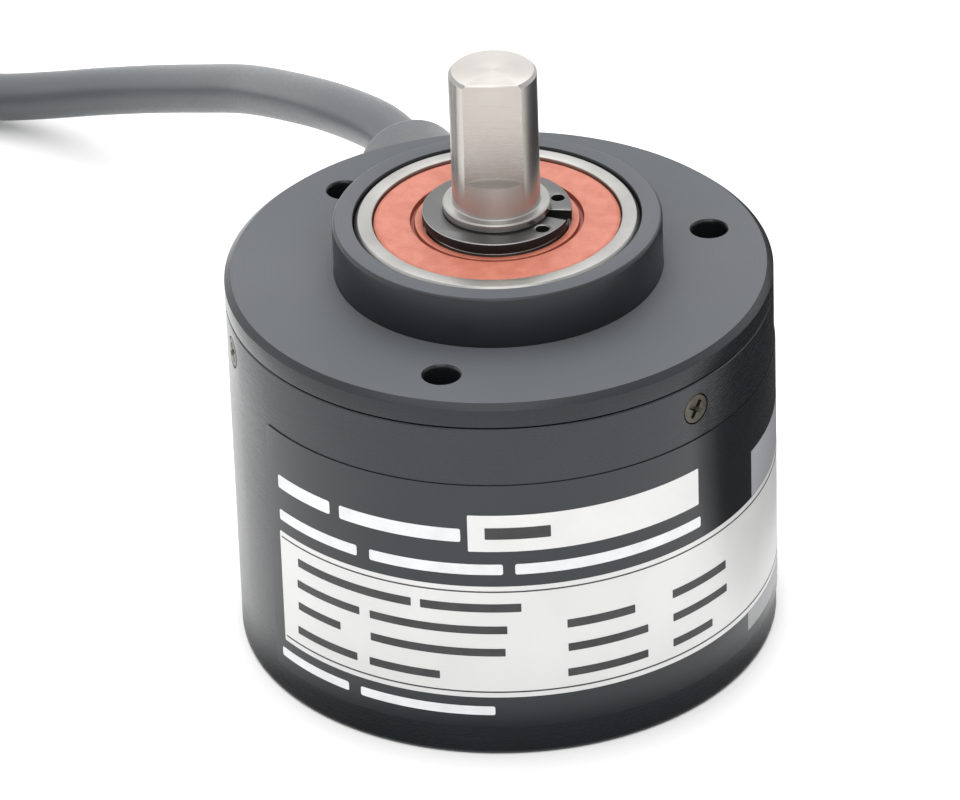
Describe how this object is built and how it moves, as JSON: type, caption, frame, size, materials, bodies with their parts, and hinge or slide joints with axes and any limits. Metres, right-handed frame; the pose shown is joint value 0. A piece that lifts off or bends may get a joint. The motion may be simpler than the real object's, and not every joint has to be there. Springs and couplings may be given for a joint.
{
  "type": "rotary encoder",
  "caption": "Rotary encoder with a round black flange and cover, a bearing-mounted shaft with a flat, an optical code disc inside and a signal cable wound into a tied coil.",
  "frame": {"origin": "centre of the cover's underside, on the shaft's axis", "axes": "+Z along the shaft, from the cover to the shaft's free end; one mounting hole lies towards -Y"},
  "size_m": [0.1668, 0.106, 0.057],
  "materials": {
    "housing_black": "satin black coating",
    "shaft_steel": "ground",
    "bearing_steel": "polished",
    "screw_steel": "plated",
    "spring_steel": "plain",
    "black_steel": "black oxide",
    "seal_rubber": "matt orange-red",
    "black_rubber": "matt",
    "label_film": "printed film",
    "hub_aluminium": "turned",
    "disc_glass": "clear with a printed track",
    "mask_glass": "metal film on glass",
    "clear_resin": "clear",
    "black_plastic": "matt",
    "white_plastic": "matt",
    "amber_film": "polyimide film",
    "board_green": "solder mask",
    "brass": "turned",
    "cable_pvc": "matt sheath",
    "tie_black": "matt",
    "wire_brown": "plain",
    "wire_black": "plain",
    "wire_white": "plain",
    "wire_orange": "plain",
    "wire_blue": "plain",
    "wire_green": "plain"
  },
  "bodies": {
    "housing": {"flange_base": "housing_black", "bearing_cartridge": "housing_black", "cover": "housing_black", "cover_o_ring": "black_rubber", "cover_screw_1": "screw_steel", "cover_screw_2": "screw_steel", "cover_screw_3": "screw_steel", "label": "label_film", "front_outer_ring": "bearing_steel", "front_upper_seal": "seal_rubber", "front_lower_seal": "seal_rubber", "rear_outer_ring": "bearing_steel", "rear_upper_seal": "seal_rubber", "rear_lower_seal": "seal_rubber", "wave_washer": "spring_steel", "led_bracket": "black_plastic", "led_bracket_screw_1": "screw_steel", "led_bracket_screw_2": "screw_steel", "led_emitter": "clear_resin", "collimator_lens": "clear_resin", "emitter_flex": "amber_film", "slit_mask": "mask_glass", "photodiode_array": "black_plastic", "main_board": "board_green", "signal_chip": "black_plastic", "wire_terminal": "white_plastic", "board_standoff_1": "brass", "board_standoff_2": "brass", "board_standoff_3": "brass", "board_screw_1": "screw_steel", "board_screw_2": "screw_steel", "board_screw_3": "screw_steel", "inner_wire_1": "wire_brown", "inner_wire_2": "wire_black", "inner_wire_3": "wire_white", "inner_wire_4": "wire_orange", "inner_wire_5": "wire_blue", "cable_ferrule": "screw_steel", "cable_inner_end": "cable_pvc", "cable_gland": "black_rubber", "cable_lead": "cable_pvc", "cable_coil": "cable_pvc", "coil_tie": "tie_black", "lead_wire_1": "wire_brown", "lead_wire_2": "wire_black", "lead_wire_3": "wire_white", "lead_wire_4": "wire_orange", "lead_wire_5": "wire_blue", "lead_wire_6": "wire_green"},
    "rotor": {"shaft": "shaft_steel", "retaining_ring": "black_steel", "front_inner_ring": "bearing_steel", "rear_inner_ring": "bearing_steel", "inner_spacer": "screw_steel", "disc_hub": "hub_aluminium", "hub_set_screw": "black_steel", "code_disc": "disc_glass"},
    "front_cage": {"front_ball_cage": "bearing_steel"},
    "rear_cage": {"rear_ball_cage": "bearing_steel"}
  },
  "joints": [
    {"name": "shaft_spin", "type": "hinge", "parent": "housing", "child": "rotor", "pos_m": [0, 0, 0.04], "axis": [0, 0, 1], "continuous": true},
    {"name": "front_cage_spin", "type": "hinge", "parent": "housing", "child": "front_cage", "pos_m": [0, 0, 0.0377], "axis": [0, 0, 1], "continuous": true},
    {"name": "rear_cage_spin", "type": "hinge", "parent": "housing", "child": "rear_cage", "pos_m": [0, 0, 0.0264], "axis": [0, 0, 1], "continuous": true}
  ],
  "couplings": [
    {"joint": "front_cage_spin", "follows": "shaft_spin", "ratio": 0.3678},
    {"joint": "rear_cage_spin", "follows": "shaft_spin", "ratio": 0.3678}
  ]
}
